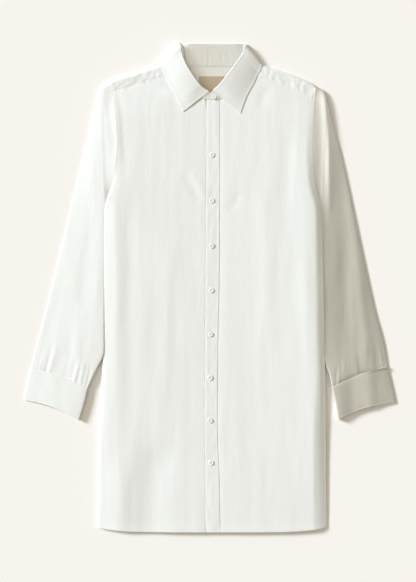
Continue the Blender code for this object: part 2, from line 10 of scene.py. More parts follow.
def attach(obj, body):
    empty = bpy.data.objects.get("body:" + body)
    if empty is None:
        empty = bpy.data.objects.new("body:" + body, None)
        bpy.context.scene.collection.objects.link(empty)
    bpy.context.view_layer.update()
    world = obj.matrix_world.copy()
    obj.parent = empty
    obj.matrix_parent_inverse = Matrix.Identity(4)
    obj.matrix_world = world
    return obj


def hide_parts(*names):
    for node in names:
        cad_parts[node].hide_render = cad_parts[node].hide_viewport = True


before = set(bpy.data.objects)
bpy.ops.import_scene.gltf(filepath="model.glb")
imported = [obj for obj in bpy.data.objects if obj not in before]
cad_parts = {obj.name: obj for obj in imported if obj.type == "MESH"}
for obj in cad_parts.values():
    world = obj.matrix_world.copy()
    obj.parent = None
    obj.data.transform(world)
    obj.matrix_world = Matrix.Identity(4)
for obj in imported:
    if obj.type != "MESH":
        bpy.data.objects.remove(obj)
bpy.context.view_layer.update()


# ================================================================ back panel
# The back is one flat piece of fine cotton shirting that reaches from the hem to the yoke
# seam. It lies on the table with its face down and the whole dress rests on it.
MM = 0.001
CLOTH = 1.2                    # one layer of shirting, in millimetres like every size here
HEM_DROP = 8.9                 # the hem hangs lower in the middle than at its side seams
HEM_REACH = 90.0
BACK_TOP = 300.0
SEAM = 0.3                     # what two sewn pieces stand apart

# A section across the body: x of its side seams, height of the cloth at them, height of its
# middle, what that gains towards the left, the steep step at each side, and the width of the
# soft slope that follows it.
Section = namedtuple(
    "Section", "y side_r side_l edge_r edge_l loft crown wall_r wall_l slope_r slope_l")
SECTIONS = [
    Section(-468, -220.0, 228.0, 2.6, 2.4, 8.2, 0.3, 1.8, 0.0, 50, 26),
    Section(-446, -219.4, 227.9, 2.8, 2.8, 8.6, 0.5, 2.6, 0.0, 50, 26),
    Section(-400, -218.3, 227.5, 2.8, 3.2, 9.2, 0.8, 3.2, 0.0, 46, 26),
    Section(-290, -215.3, 226.6, 2.8, 4.6, 9.8, 1.2, 3.7, 0.0, 34, 25),
    Section(-170, -211.0, 225.0, 2.8, 8.2, 10.8, 1.7, 4.1, 0.0, 29, 18),
    Section(-50, -209.5, 222.2, 2.8, 10.0, 12.0, 2.2, 5.5, 0.0, 28, 16),
    Section(70, -208.8, 219.5, 2.8, 11.0, 12.4, 2.6, 6.0, 0.0, 27, 14),
    Section(150, -208.2, 217.0, 2.8, 11.0, 12.6, 2.6, 6.2, 0.0, 25, 12),
    Section(170, -203.5, 212.5, 3.4, 11.4, 12.7, 2.4, 7.0, 0.0, 24, 11),
    Section(185, -196.0, 208.0, 6.4, 11.8, 12.8, 2.2, 5.0, 0.0, 20, 11),
    Section(200, -190.0, 204.5, 9.6, 12.2, 12.9, 2.0, 2.0, 0.0, 18, 11),
    Section(230, -184.5, 201.3, 12.0, 12.3, 12.7, 1.8, 0.0, 0.0, 18, 11),
    Section(270, -181.8, 200.2, 12.6, 12.0, 12.3, 1.5, 0.0, 0.0, 18, 12),
    Section(310, -182.5, 201.0, 12.4, 11.4, 11.9, 1.1, 0.0, 0.0, 18, 13),
    Section(350, -186.0, 203.5, 11.8, 10.6, 11.6, 0.7, 0.0, 0.0, 20, 15),
    Section(374, -188.5, 205.5, 10.4, 9.2, 11.6, 0.4, 0.0, 0.0, 24, 20),
    Section(385, -189.5, 206.3, 9.2, 8.2, 11.6, 0.2, 0.0, 0.0, 28, 26),
    Section(405, -191.0, 207.0, 6.6, 6.4, 11.6, 0.0, 0.0, 0.0, 30, 30),
]


def mix(a, b, t):
    return a + (b - a) * t


def soft(t):
    """Smooth step, from 0 at t = 0 to 1 at t = 1 and beyond."""
    t = min(max(t, 0.0), 1.0)
    return t * t * (3.0 - 2.0 * t)


def ease(t):
    """Quarter sine, steep at t = 0 and level at t = 1."""
    return sin(0.5 * pi * min(max(t, 0.0), 1.0))


def fall(t):
    """From 0 at t = 0 to 1 at t = 1, with a soft corner at the end."""
    return 0.55 * ease(t) + 0.45 * min(max(t, 0.0), 1.0)


def between(rows, key, value):
    """The row that a smooth curve through the rows has where key takes this value."""
    keys = [getattr(row, key) for row in rows]
    value = min(max(value, keys[0]), keys[-1])
    i = max(k for k, place in enumerate(keys[:-1]) if place <= value)
    first, last = max(i - 1, 0), min(i + 2, len(rows) - 1)
    gap = keys[i + 1] - keys[i]
    t = (value - keys[i]) / gap
    found = []
    for p, a, b, q in zip(rows[first], rows[i], rows[i + 1], rows[last]):
        lean_a = (b - p) / (keys[i + 1] - keys[first]) * gap
        lean_b = (q - a) / (keys[last] - keys[i]) * gap
        rise = a + t * lean_a + t * t * (3 * (b - a) - 2 * lean_a - lean_b)
        found.append(rise + t ** 3 * (2 * (a - b) + lean_a + lean_b))
    return type(rows[0])(*found)


@lru_cache(maxsize=None)
def body_at(y):
    return between(SECTIONS, "y", y)


def hem_y(x, y):
    """A station near the hem, dropped by the curve of the hem line."""
    near = max(0.0, 1.0 - (y - SECTIONS[0].y) / HEM_REACH)
    half = 0.5 * (SECTIONS[0].side_l - SECTIONS[0].side_r)
    across = min(abs((x - SECTIONS[0].side_r - half) / half), 1.0)
    return y - HEM_DROP * near ** 2 * (1.0 - across ** 5)


def uneven(x, y, long, seed):
    """Slow rise and fall of cloth that has been worn: about -1 to 1, drawn out along y."""
    return noise.noise(Vector((x / 34.0, y / long, seed))) + 0.5 * noise.noise(
        Vector((x / 15.0, y / (0.6 * long), seed + 7.0)))


def cloth(name, columns, rows, size, place, tube=False, thick=CLOTH, without=None):
    """A grid of cloth whose every point goes where place(u, v) says, then its thickness."""
    bm = bmesh.new()
    weave = bm.loops.layers.uv.new("weave")
    bmesh.ops.create_grid(bm, x_segments=columns, y_segments=rows, size=0.5)
    for face in bm.faces:
        for loop in face.loops:
            u, v = loop.vert.co.x + 0.5, loop.vert.co.y + 0.5
            loop[weave].uv = (u * size[0] * MM, v * size[1] * MM)
    cut = []
    for vert in bm.verts:
        u, v = vert.co.x + 0.5, vert.co.y + 0.5
        if without and without(u, v):
            cut.append(vert)
        vert.co = Vector(place(u, v)) * MM
    bmesh.ops.delete(bm, geom=cut, context="VERTS")
    if tube:
        bmesh.ops.remove_doubles(bm, verts=bm.verts[:], dist=0.00002)
        bmesh.ops.recalc_face_normals(bm, faces=bm.faces[:])
    mesh = bpy.data.meshes.new(name)
    bm.to_mesh(mesh)
    bm.free()
    mesh.shade_smooth()
    piece = bpy.data.objects.new(name, mesh)
    bpy.context.scene.collection.objects.link(piece)
    wall = piece.modifiers.new("wall", "SOLIDIFY")
    wall.thickness = thick * MM
    wall.offset = -1.0
    rim = piece.modifiers.new("rim", "EDGE_SPLIT")
    rim.split_angle = radians(55)
    return piece


class Value:
    """A socket of a material, so that shader maths reads as plain sums."""

    def __init__(self, tree, socket):
        self.tree = tree
        self.socket = socket

    def node(self, kind, inputs=(), output=0, **settings):
        """Any other node: its type, its inputs by name or number, and its settings."""
        made = self.tree.nodes.new(kind)
        for key, value in settings.items():
            setattr(made, key, value)
        for key, value in dict(inputs).items():
            if isinstance(value, Value):
                self.tree.links.new(value.socket, made.inputs[key])
            else:
                made.inputs[key].default_value = value
        return Value(self.tree, made.outputs[output])

    def other(self, key):
        """Another output of the node that this value comes from."""
        return Value(self.tree, self.socket.node.outputs[key])

    def maths(self, operation, *values):
        return self.node("ShaderNodeMath", enumerate(values), operation=operation)

    def __add__(self, other):
        return self.maths("ADD", self, other)

    def __mul__(self, other):
        return self.maths("MULTIPLY", self, other)

    __radd__ = __add__
    __rmul__ = __mul__

    def blend(self, low, high):
        """A colour between two, by this value as the factor."""
        inputs = {0: self, 6: (*low, 1.0), 7: (*high, 1.0)}
        return self.node("ShaderNodeMix", inputs, output=2, data_type="RGBA")


def shirting(name, low, high, thread=0.5, crumple=0.22):
    """Fine plain-woven cotton: crossing threads, slubs, soft crumple and a little nap."""
    material = bpy.data.materials.new(name)
    material.use_nodes = True
    tree = material.node_tree
    shader = tree.nodes["Principled BSDF"]
    start = Value(tree, None)
    laid = start.node("ShaderNodeUVMap", uv_map="weave")
    apart = start.node("ShaderNodeSeparateXYZ", {0: laid})
    across, along = apart.other(0), apart.other(1)
    turn = 2.0 * pi / (thread * MM)
    warp = across.maths("SINE", across * turn)
    weft = along.maths("SINE", along * turn)
    over = warp * weft
    weave = over * 0.5 + 0.5
    slub = start.node("ShaderNodeTexNoise", {"Vector": start.node(
        "ShaderNodeVectorMath", {0: laid, 1: (900.0, 90.0, 1.0)}, operation="MULTIPLY"),
        "Scale": 1.0, "Detail": 2.0})
    place = Value(tree, tree.nodes.new("ShaderNodeTexCoord").outputs["Object"])
    rumple = start.node("ShaderNodeTexNoise", {"Vector": start.node(
        "ShaderNodeVectorMath", {0: laid, 1: (150.0, 24.0, 1.0)}, operation="MULTIPLY"),
        "Scale": 1.0, "Detail": 3.0, "Roughness": 0.5})
    tone = start.node("ShaderNodeTexNoise", {"Vector": place, "Scale": 9.0, "Detail": 3.0})
    shade = 0.35 * tone + 0.35 * slub + 0.3 * weave
    tree.links.new(shade.blend(low, high).socket, shader.inputs["Base Color"])
    rough = 0.78 + 0.14 * slub
    tree.links.new(rough.socket, shader.inputs["Roughness"])
    relief = 0.00006 * weave + 0.00003 * slub + (crumple * MM) * rumple
    bump = start.node("ShaderNodeBump", {"Height": relief, "Strength": 1.0, "Distance": 1.0})
    tree.links.new(bump.socket, shader.inputs["Normal"])
    shader.inputs["Specular IOR Level"].default_value = 0.25
    shader.inputs["Sheen Weight"].default_value = 0.12
    shader.inputs["Sheen Roughness"].default_value = 0.5
    return material


def fit(piece, material, slot, *nodes):
    """Gives a finished piece its material and its place in the frame."""
    piece.data.materials.append(material)
    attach(piece, "root")
    if nodes:
        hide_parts(*nodes)
    return piece


COTTON = shirting("cotton_shirting", (0.80, 0.79, 0.793), (0.876, 0.864, 0.868))


def back_point(u, v):
    y = mix(SECTIONS[0].y, BACK_TOP - SEAM, v)
    s = body_at(y)
    x = mix(s.side_r, s.side_l, u)
    return x, hem_y(x, y), CLOTH


back = cloth("back", 44, 76, (448, 768), back_point)
fit(back, COTTON, "shirting", "back_panel")


# ================================================================ yoke
# The yoke is the doubled shoulder piece. It runs from the back seam up to the shoulder, folds
# over it and is sewn to the fronts a hand's breadth further down, where the seam puckers.
SHOULDER_FOLD = 3.0            # radius of the fold along the shoulder
YOKE_FRONT_LOW = 385.0         # where the forward seam meets the right armhole
YOKE_FRONT_LOW_L = 374.0
BACK_NECK = 434.3

Shoulder = namedtuple("Shoulder", "x y")
SHOULDERS = [
    Shoulder(-191, 405), Shoulder(-155, 417), Shoulder(-117, 429), Shoulder(-90, 437),
    Shoulder(-60, 437), Shoulder(68, 437), Shoulder(98, 436.5), Shoulder(118, 430),
    Shoulder(157, 418), Shoulder(195, 402), Shoulder(207, 394),
]
Neck = namedtuple("Neck", "t neck_x neck_y")
NECK_RIGHT = [
    Neck(0, -8, 367), Neck(0.4, -45, 385), Neck(0.7, -68, 402), Neck(1, -84, 416),
]
NECK_LEFT = [
    Neck(0, 20, 367), Neck(0.4, 50, 384), Neck(0.7, 76, 401), Neck(1, 94, 413),
]
# A soft ridge along a line of points, or a trough where its height is below zero.
Fold = namedtuple("Fold", "width height points")
FRONT_FOLDS = [
    Fold(8, -0.6, [(-186, 398), (-179, 372), (-172, 340), (-168, 288), (-165, 250), (-166, 190)]),
    Fold(9, 0.35, [(-182, 190), (-181, 120), (-180, 0), (-181, -120), (-183, -240)]),
    Fold(16, -0.8, [(-156, 230), (-154, 60), (-156, -120), (-160, -330)]),
    Fold(9, -1.3, [(-166, 410), (-136, 401), (-116, 392), (-97, 385), (-74, 378)]),
    Fold(30, -2.6, [(-96, -290), (-112, -390), (-122, -520)]),
    Fold(24, 1.1, [(-168, -330), (-176, -420), (-184, -520)]),
    Fold(9, -0.8, [(-52, 224), (-34, 196), (-16, 160)]),
    Fold(9, 0.5, [(-40, 232), (-22, 204), (-8, 176)]),
    Fold(8, -0.6, [(62, 190), (48, 164), (34, 142)]),
    Fold(26, 1.7, [(188, 330), (190, 180), (194, 0), (200, -200), (203, -520)]),
    Fold(14, -0.7, [(150, 330), (152, 240), (146, 120)]),
    Fold(18, 0.7, [(96, 250), (110, 60), (120, -160)]),
    Fold(20, -0.6, [(70, 40), (84, -180), (90, -380)]),
    Fold(16, 0.6, [(-70, 120), (-84, -60), (-92, -240)]),
    Fold(10, -0.6, [(120, 400), (104, 372), (98, 340)]),
]


@lru_cache(maxsize=None)
def shoulder_y(x):
    return between(SHOULDERS, "x", x).y


def fold_lift(x, y, folds):
    """How much the listed folds raise or lower the cloth at a point."""
    lift = 0.0
    for fold in folds:
        best, share = 4.0, 0.0
        steps = len(fold.points) - 1
        for k, ((x0, y0), (x1, y1)) in enumerate(zip(fold.points, fold.points[1:])):
            dx, dy = x1 - x0, y1 - y0
            t = ((x - x0) * dx + (y - y0) * dy) / (dx * dx + dy * dy)
            t = min(max(t, 0.0), 1.0)
            off = hypot(x - x0 - dx * t, y - y0 - dy * t) / fold.width
            if off < best:
                best, share = off, (k + t) / steps
        if best < 3.0:
            ends = soft(share * 3.5) * soft((1.0 - share) * 3.5)
            lift += fold.height * ends * exp(-best * best)
    return lift


def pucker(x, y):
    """Small ripples across the forward seam, strongest between it and the shoulder."""
    down = shoulder_y(x) - y
    band = soft((down - 2.0) / 7.0) * soft((40.0 - down) / 22.0)
    if band <= 0.0:
        return 0.0
    ripple = noise.noise(Vector((x / 6.0, down / 15.0, 3.0)))
    roll = 1.5 * soft(down / 5.0) * exp(-((down - 6.0) / 10.0) ** 2)
    return roll + band * 0.95 * (ripple + 0.6 * noise.noise(Vector((x / 3.2, down / 8.0, 8.0))))


def front_height(x, y):
    """Height of the fronts' face above the table."""
    s = body_at(y)
    height = s.loft + s.crown * soft(x / 190.0)
    from_r, from_l = x - s.side_r, s.side_l - x
    drop_r, drop_l = s.loft - s.edge_r - s.wall_r, s.loft + s.crown - s.edge_l - s.wall_l
    height -= s.wall_r * (1.0 - ease(from_r / 3.0)) + s.wall_l * (1.0 - ease(from_l / 4.0))
    height -= drop_r * (1.0 - fall(from_r / s.slope_r)) + drop_l * (1.0 - fall(from_l / s.slope_l))
    below = shoulder_y(x) - SHOULDER_FOLD - y
    height = mix(2.0 * SHOULDER_FOLD, height, ease(below / 100.0))
    inside = soft(from_r / 12.0) * soft(from_l / 12.0)
    height += inside * (fold_lift(x, y, FRONT_FOLDS) + 0.42 * uneven(x, y, 150.0, 1.0))
    return height + pucker(x, y)


def forward_seam_y(x):
    """The seam between yoke and front, straight from each armhole to the neckline."""
    low, neck = (YOKE_FRONT_LOW, NECK_RIGHT[-1]) if x < 0 else (YOKE_FRONT_LOW_L, NECK_LEFT[-1])
    s = body_at(low)
    side = s.side_r if x < 0 else s.side_l
    return mix(low, neck.neck_y, (x - side) / (neck.neck_x - side))


YOKE_BACK = 0.52               # share of the piece that lies on the table
YOKE_TURN = 0.66               # share at which the fold over the shoulder ends
NECK_IN_R, NECK_IN_L = -80.0, 88.0
YOKE_LAP = 1.6                 # its folded edge lies this far over the fronts


def yoke_x(u):
    """Where a share of the yoke's width lies, before the armholes' curves draw it in."""
    return mix(SHOULDERS[0].x, SHOULDERS[-1].x, u)


def yoke_point(u, v):
    flat_x = yoke_x(u)
    axis_y = shoulder_y(flat_x) - SHOULDER_FOLD
    in_neck = NECK_IN_R < flat_x < NECK_IN_L
    if v <= YOKE_BACK:
        y = mix(BACK_TOP, BACK_NECK if in_neck else axis_y, v / YOKE_BACK)
        s = body_at(y)
        return mix(s.side_r, s.side_l, u), y, 0.0
    if v <= YOKE_TURN:
        a = radians(mix(-90.0, 90.0, (v - YOKE_BACK) / (YOKE_TURN - YOKE_BACK)))
        s = body_at(axis_y)
        y = axis_y + SHOULDER_FOLD * cos(a)
        return mix(s.side_r, s.side_l, u), y, SHOULDER_FOLD * (1.0 + sin(a))
    down = (v - YOKE_TURN) / (1.0 - YOKE_TURN)
    s = body_at(axis_y)
    x0 = mix(s.side_r, s.side_l, u)
    y1 = forward_seam_y(flat_x) - YOKE_LAP
    s = body_at(y1)
    x = mix(x0, mix(s.side_r, s.side_l, u), down)
    y = mix(axis_y, y1, down)
    return x, y, front_height(x, y) + 0.4 - 0.5 * exp(-((1.0 - down) / 0.1) ** 2)


def neck_gap(u, v):
    return v > YOKE_BACK + 0.001 and NECK_IN_R < yoke_x(u) < NECK_IN_L


yoke = cloth("yoke", 133, 50, (400, 250), yoke_point, without=neck_gap)
for face in yoke.data.polygons:
    face.flip()
fit(yoke, COTTON, "shirting", "back_yoke")

# Its inner layer, of which only the part inside the neck shows.
LINING_TOP = 1.9


def lining_point(u, v):
    x = mix(NECK_IN_R, NECK_IN_L, u)
    y = mix(BACK_TOP + SEAM, BACK_NECK + 0.8, v)
    lip = 0.5 * exp(-((1.0 - v) / 0.012) ** 2)
    return x, y, LINING_TOP + lip + 0.25 * noise.noise(Vector((x / 7.0, y / 30.0, 51.0)))


lining = cloth("yoke_lining", 60, 40, (168, 134), lining_point, thick=0.5)
fit(lining, COTTON, "shirting")


# ================================================================ neck label
# A folded tape of woven satin in a warm beige, left bare. It is sewn in under the neckline seam
# at the back and hangs free below it, over the yoke's inner layer.
LABEL_SIZE = (49.0, 31.0)
LABEL_AT = (3.5, 397.5)


def label_point(u, v):
    x = LABEL_AT[0] + (u - 0.5) * LABEL_SIZE[0]
    y = LABEL_AT[1] + (v - 0.5) * LABEL_SIZE[1]
    return x, y, 3.2 + 0.5 * sin(pi * v) * (0.7 + 0.3 * sin(5.0 * u))


label = cloth("label", 24, 16, LABEL_SIZE, label_point, thick=0.7)
tape = shirting("satin_tape", (0.51, 0.41, 0.30), (0.60, 0.49, 0.37), thread=0.35, crumple=0.1)
fit(label, tape, "label_tape", "neck_label")


# ================================================================ fronts
# Two flat pieces of the same cotton, sewn to the back at the sides and to the yoke above. The
# right one carries the button band and the left one passes under it; both puff up between the
# side seams because the dress is laid loosely, not pressed.
Band = namedtuple("Band", "y left right")
BAND_EDGES = [
    Band(-468, -9.3, 20.0), Band(-345, -10.0, 17.5), Band(-300, -11.0, 15.3),
    Band(-120, -10.8, 15.6), Band(0, -9.5, 18.2), Band(171, -8.5, 19.0),
    Band(366, -7.0, 19.0),
]
FRONT_SPLIT = 0.925            # share of the length below the neckline
FRONT_SPLIT_Y = 340.0
NECK_START = 0.25              # share of the rest that reaches the corner of the neckline
BAND_STITCH = 3.6              # the seam that holds the button band, outside its edge
UNDERLAP_DIP = 0.6             # the left front passes this much lower under the band
UNDERLAP_RAMP = 10.0
HEM_BAND = 9.0                 # the turned-up hem


@lru_cache(maxsize=None)
def band_at(y):
    return between(BAND_EDGES, "y", y)


def front_span(v, side, inner, neck, top):
    """The two ends of a row across a front: on its side seam and on its inner edge."""
    if v <= FRONT_SPLIT:
        y = mix(SECTIONS[0].y, FRONT_SPLIT_Y, v / FRONT_SPLIT)
        return getattr(body_at(y), side), y, inner(y), y
    t = (v - FRONT_SPLIT) / (1.0 - FRONT_SPLIT)
    y = mix(FRONT_SPLIT_Y, top, t)
    if t < NECK_START:
        y1 = mix(FRONT_SPLIT_Y, neck[0].neck_y, t / NECK_START)
        return getattr(body_at(y), side), y, mix(inner(y1), neck[0].neck_x, t / NECK_START), y1
    turn = between(neck, "t", (t - NECK_START) / (1.0 - NECK_START))
    return getattr(body_at(y), side), y, turn.neck_x, turn.neck_y


def hem_relief(y):
    """The folded hem stands proud and is drawn in along its stitching."""
    above = y - SECTIONS[0].y
    return 0.55 * (1.0 - soft((above - HEM_BAND + 1.0) / 2.0)) - 0.5 * exp(
        -((above - HEM_BAND) / 1.6) ** 2)


def right_front_point(u, v):
    x0, y0, x1, y1 = front_span(
        v, "side_r", lambda y: band_at(y).left, NECK_RIGHT, YOKE_FRONT_LOW)
    across = u ** 1.2
    x, y = mix(x0, x1, across), mix(y0, y1, across)
    z = front_height(x, y) + hem_relief(y) * soft((x - x0) / 6.0)
    off = band_at(y).left - x
    z -= 0.1 * exp(-(off / 2.0) ** 2) + 0.1 * exp(-((off - BAND_STITCH) / 1.0) ** 2)
    return x, hem_y(x, y), z


def left_front_point(u, v):
    x0, y0, x1, y1 = front_span(
        v, "side_l", lambda y: band_at(y).left + 3.0, NECK_LEFT, YOKE_FRONT_LOW_L)
    across = 1.0 - (1.0 - u) ** 1.2
    x, y = mix(x1, x0, across), mix(y1, y0, across)
    z = front_height(x, y) + hem_relief(y) * soft((x0 - x) / 6.0)
    past = (x - band_at(y).right - 0.5) / UNDERLAP_RAMP
    z -= UNDERLAP_DIP * (1.0 - ease(past))
    return x, hem_y(x, y), z


right_front = cloth("right_front", 64, 216, (230, 870), right_front_point)
fit(right_front, COTTON, "shirting", "front_right")
left_front = cloth("left_front", 64, 216, (240, 870), left_front_point)
fit(left_front, COTTON, "shirting", "front_left")


# ================================================================ button band
# A folded strip of the same cotton with a stiffening inside, sewn down its left edge and free
# on its right, with upright buttonholes worked in thread.
BAND_CLOTH = 0.5               # thickness of its shown layer
BAND_TOP = 368.2
BAND_LIFT = 0.12               # its face above the fronts'
BAND_EDGE_STITCH = 0.6         # the row inside its sewn edge
BAND_FREE_STITCH = 4.5         # the row inside its free edge
BAND_STITCH_ENDS = 4.0         # what the rows leave free at hem and neck
BAND_STITCH_POINTS = 140
FIRST_BUTTON_Y = 259.0
FIRST_BUTTON_STEP = 89.1
BUTTON_STEP_SHRINK = 1.13
BUTTON_COUNT = 8


def button_places():
    """Centre of each button on the band, from the top down."""
    y, step, places = FIRST_BUTTON_Y, FIRST_BUTTON_STEP, []
    for _ in range(BUTTON_COUNT):
        edges = band_at(y)
        places.append((0.5 * (edges.left + edges.right) - 1.0, y))
        y, step = y - step, step - BUTTON_STEP_SHRINK
    return places


def band_height(x, y):
    """The band's face: sunk along the seam on its left, rounded over its free right edge."""
    edges = band_at(y)
    from_left, from_right = x - edges.left, edges.right - x
    z = front_height(x, y) + BAND_LIFT - 0.38 * exp(-(from_left / 3.0) ** 2)
    groove = 0.16 * exp(-((from_right - BAND_FREE_STITCH) / 0.9) ** 2)
    z -= groove + 0.3 * (1.0 - ease(from_right / 1.6))
    z += 0.25 * noise.noise(Vector((x / 9.0, y / 26.0, 5.0)))
    for bx, by in button_places():
        z -= 0.4 * exp(-(((x - bx) / 6.0) ** 2 + ((y - by) / 8.0) ** 2))
    return z


def band_point(u, v):
    y = mix(SECTIONS[0].y, BAND_TOP, v)
    edges = band_at(y)
    x = mix(edges.left + 0.2, edges.right, u)
    return x, hem_y(x, y), band_height(x, y)


band = cloth("button_band", 22, 260, (28, 835), band_point, thick=BAND_CLOTH)
fit(band, COTTON, "shirting", "placket")


def stitch_row(bm, path, length=2.4, gap=0.7, width=0.42, lift=0.08):
    """Lays stitches along a line of points in millimetres, each a small flattened bead."""
    points = [Vector(p) for p in path]
    for a, b in zip(points, points[1:]):
        run = b - a
        count = max(1, round(run.length / (length + gap)))
        turn = run.to_track_quat("X", "Z").to_matrix().to_4x4()
        for k in range(count):
            at = a + run * ((k + 0.5) / count) + Vector((0, 0, lift))
            size = Matrix.Diagonal((0.5 * length, 0.5 * width, 0.32 * width, 1.0))
            bmesh.ops.create_icosphere(
                bm, subdivisions=1, radius=1.0,
                matrix=Matrix.Translation(at) @ turn @ size)


def thread_piece(name, bm, material, slot):
    """Turns a bmesh of stitches in millimetres into a finished piece."""
    bmesh.ops.scale(bm, vec=(MM, MM, MM), verts=bm.verts[:])
    mesh = bpy.data.meshes.new(name)
    bm.to_mesh(mesh)
    bm.free()
    mesh.shade_smooth()
    piece = bpy.data.objects.new(name, mesh)
    bpy.context.scene.collection.objects.link(piece)
    return fit(piece, material, slot)


def thread_material(name, low, high):
    """Spun cotton thread: a fine twist and a soft shine."""
    material = bpy.data.materials.new(name)
    material.use_nodes = True
    tree = material.node_tree
    shader = tree.nodes["Principled BSDF"]
    place = Value(tree, tree.nodes.new("ShaderNodeTexCoord").outputs["Object"])
    twist = place.node("ShaderNodeTexNoise", {"Vector": place, "Scale": 2600.0, "Detail": 1.0})
    tree.links.new(twist.blend(low, high).socket, shader.inputs["Base Color"])
    bump = place.node("ShaderNodeBump", {"Height": twist * 0.00008, "Distance": 1.0})
    tree.links.new(bump.socket, shader.inputs["Normal"])
    shader.inputs["Roughness"].default_value = 0.6
    shader.inputs["Sheen Weight"].default_value = 0.15
    return material


THREAD = thread_material("white_thread", (0.76, 0.77, 0.74), (0.87, 0.88, 0.86))


def seam_height(x, y):
    """The fronts' face, drawn in along the seam that holds the band."""
    return front_height(x, y) - 0.14


bm = bmesh.new()
for edge, inset, height in (
        ("left", -BAND_STITCH, seam_height), ("left", BAND_EDGE_STITCH, band_height),
        ("right", -BAND_FREE_STITCH, band_height)):
    path = []
    for k in range(BAND_STITCH_POINTS):
        share = k / (BAND_STITCH_POINTS - 1.0)
        y = mix(SECTIONS[0].y + BAND_STITCH_ENDS, BAND_TOP - BAND_STITCH_ENDS, share)
        x = getattr(band_at(y), edge) + inset
        path.append((x, hem_y(x, y), height(x, y)))
    stitch_row(bm, path)
band_stitches = thread_piece("band_stitches", bm, THREAD, "shirting")

BUTTONHOLE_SHIFT = 0.4         # each lies this far beside its button's middle
BUTTONHOLE_HALF = 7.0
BUTTONHOLE_BAR = 7.3           # from its middle to the bar at each end
BUTTONHOLE_THREADS = 24

bm = bmesh.new()
for bx, by in button_places():
    bx += BUTTONHOLE_SHIFT
    for side in (-1.0, 1.0):
        for k in range(BUTTONHOLE_THREADS):
            share = k / (BUTTONHOLE_THREADS - 1.0)
            y = by + mix(-BUTTONHOLE_HALF, BUTTONHOLE_HALF, share)
            x = bx + side * 0.75
            z = band_height(x, y)
            stitch_row(bm, [(x - 0.45, y, z), (x + 0.45, y, z)], length=1.2, width=0.5)
    for end in (-1.0, 1.0):
        y = by + end * BUTTONHOLE_BAR
        z = band_height(bx, y)
        stitch_row(bm, [(bx - 1.3, y, z), (bx + 1.3, y, z)], length=2.6, width=0.7)
buttonholes = thread_piece("buttonholes", bm, THREAD, "shirting")


# ================================================================ collar stand and collar
# The stand is a narrow upright band sewn into the neckline and buttoned at the throat. The
# pointed collar is sewn to its top, rolls over and lies on the fronts; both go round behind
# the neck, where the stand's inside faces up. Stiffened cotton, edge-stitched all round.
# A station round the neck: its share of the ring, its rolled edge, its other edge and the way
# that its shown face looks.
Station = namedtuple("Station", "t roll_x roll_y roll_z out_x out_y out_z up_x up_y up_z")
Leaf = namedtuple("Leaf", "roll_x roll_y edge_x edge_y rise")
LEAF_RIGHT = [
    Leaf(-0.5, 383, -52, 343, 1.7), Leaf(-11, 389, -58, 355, 3.4), Leaf(-20, 397, -66, 373, 6.2),
    Leaf(-39, 424, -81, 401, 9.0), Leaf(-49, 443, -87, 412, 9.0), Leaf(-55, 462, -90.5, 422, 7.6),
]
LEAF_LEFT = [
    Leaf(6, 385, 60, 340, 3.4), Leaf(13, 391, 64, 353, 5.0), Leaf(21, 399, 71, 371, 7.0),
    Leaf(40, 423, 86, 399, 9.0), Leaf(59, 450, 95, 418, 8.6), Leaf(65, 460, 98.5, 423.5, 8),
]
Turn = namedtuple("Turn", "near_x near_y far_x far_y")
LEAF_TURNS = {-1: Turn(-54.7, 471.2, -91.6, 433.2), 1: Turn(65.8, 469.1, 100.6, 431.0)}
STAND_TURNS = {-1: Turn(-53.2, 469.8, -83.5, 433.5), 1: Turn(64.3, 468.6, 91.5, 432.5)}
LEAF_RADII = (7.8, 4.4)
STAND_RADII = (5.3, 2.05)
STAND_CLEARANCE = 1.9
LEAF_LIFT = 1.3                # the leaf's face above the front along its outer edge
COLLAR_CLOTH = 1.1             # two layers with a stiffening between them
BACK_ROLL = 475.3              # how far back the stand's rolled edge lies
LEAF_BACK = 476.4              # and the leaf's, round it
LEAF_LENGTH = 420.0            # about its length round the neck
LEAF_STITCH = 5.5              # from its outer edge to the stitching
LEAF_STITCHED = (0.013, 0.987)  # shares of the ring between which it is stitched


def turn_stations(turn, side, radii, floor_z, back_y):
    """Stations round the shoulder, from the front over the outside to the back at back_y."""
    near, far = Vector((turn.near_x, turn.near_y)), Vector((turn.far_x, turn.far_y))
    way = (far - near).normalized()
    out = Vector((way.y, -way.x)) * -side
    found = []
    for angle in (90, 60, 30, 0, -30, -60, -90):
        a = radians(angle)
        up = Vector((out.x * cos(a), out.y * cos(a), sin(a)))
        ends = []
        for foot, r in ((near, radii[0]), (far, radii[1])):
            rise = max(-up.z, 0.0) * (back_y - foot.y) if foot is near else 0.0
            ends += [foot.x + up.x * r, foot.y + up.y * r + rise, floor_z + r + up.z * r]
        found.append([*ends, *up])
    return found


def ring_of(stations):
    """Numbers the stations by the length of the ring between their middles."""
    rows, t, last = [], 0.0, None
    for s in stations:
        middle = Vector((s[0] + s[3], s[1] + s[4], s[2] + s[5])) * 0.5
        t += (middle - last).length if last else 0.0
        last = middle
        rows.append(Station(t, *s))
    return [row._replace(t=row.t / t) for row in rows]


def lying(leaf):
    """A station of the leaf where it lies on the front."""
    roll_z = front_height(leaf.roll_x, leaf.roll_y) + LEAF_LIFT + leaf.rise
    out_z = front_height(leaf.edge_x, leaf.edge_y) + LEAF_LIFT
    return [leaf.roll_x, leaf.roll_y, roll_z, leaf.edge_x, leaf.edge_y, out_z, 0.0, 0.0, 1.0]


